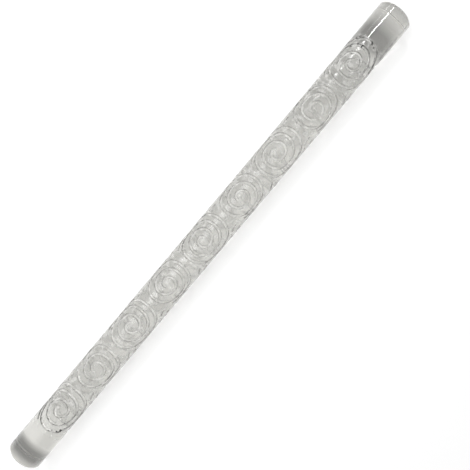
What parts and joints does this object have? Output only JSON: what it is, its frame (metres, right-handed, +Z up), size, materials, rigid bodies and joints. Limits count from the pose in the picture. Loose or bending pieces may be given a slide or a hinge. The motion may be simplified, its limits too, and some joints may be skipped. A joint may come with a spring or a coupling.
{
  "type": "embossed rolling pin",
  "caption": "Slim one-piece clear rod, engraved all round its middle with overlapping swirls, with plain ends to roll under the palms.",
  "frame": {"origin": "under the middle of the rod, on the surface that it lies on", "axes": "+X along the rod, +Z up; the rod is round about its own axis, so which side is up is free"},
  "size_m": [0.33, 0.021, 0.021],
  "materials": {
    "clear_acrylic": "polished"
  },
  "bodies": {
    "root": {"embossed_rod": "clear_acrylic"}
  },
  "joints": []
}
